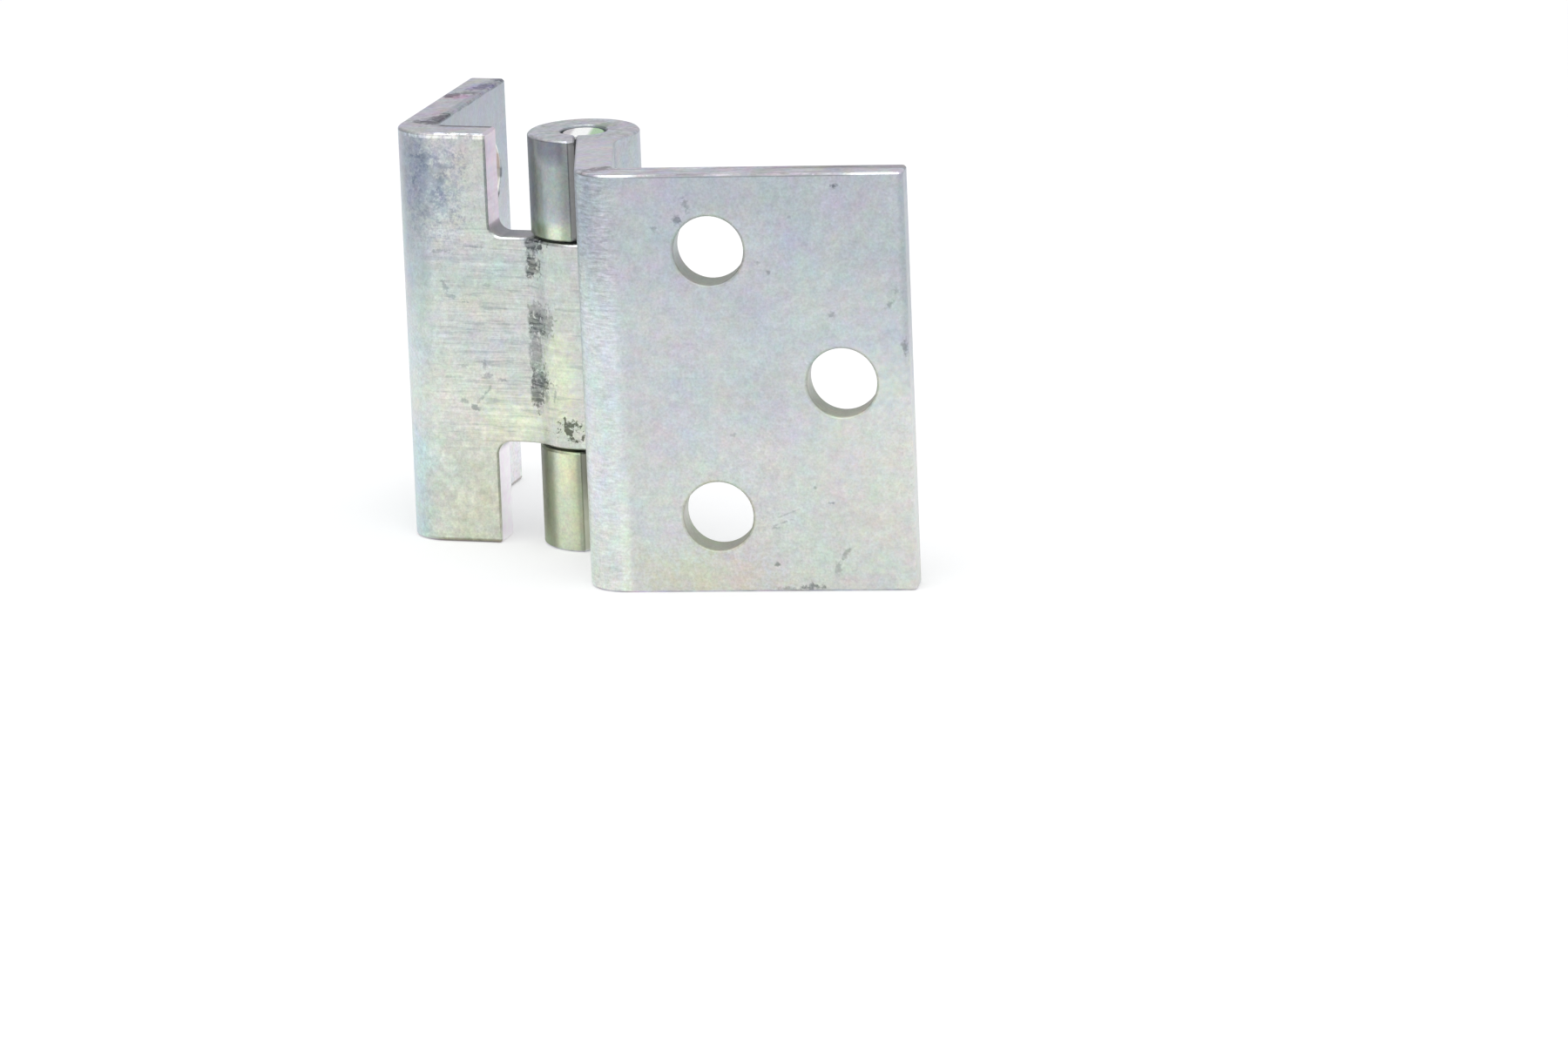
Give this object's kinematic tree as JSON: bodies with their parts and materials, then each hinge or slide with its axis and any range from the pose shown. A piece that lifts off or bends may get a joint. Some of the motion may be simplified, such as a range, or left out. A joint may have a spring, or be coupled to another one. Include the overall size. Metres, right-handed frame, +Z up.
{
  "type": "tailgate hinge",
  "caption": "Butt-type tailgate hinge of folded zinc-plated steel: an angle leaf and a cranked plate leaf with rolled knuckles swing about a pressed-in pin.",
  "frame": {"origin": "on the floor under the middle of the hinge's box, with the hinge standing on its lower edges", "axes": "+Z up along the pin; the plate leaf's outer face looks along -Y and its free edge along +X"},
  "size_m": [0.0638, 0.0572, 0.05],
  "materials": {
    "plate_leaf_zinc": "zinc plate with clear bluish passivate, satin",
    "angle_leaf_zinc": "zinc plate with clear passivate, satin, brushed across",
    "pin_zinc": "zinc plate, bright"
  },
  "bodies": {
    "plate_leaf": {"plate_leaf": "plate_leaf_zinc", "hinge_pin": "pin_zinc"},
    "angle_leaf": {"angle_leaf": "angle_leaf_zinc"}
  },
  "joints": [
    {"name": "leaf_swing", "type": "hinge", "parent": "plate_leaf", "child": "angle_leaf", "pos_m": [-0.00898, -0.00277, 0.025], "axis": [0, 0, 1], "range_deg": [-152, 82]}
  ]
}
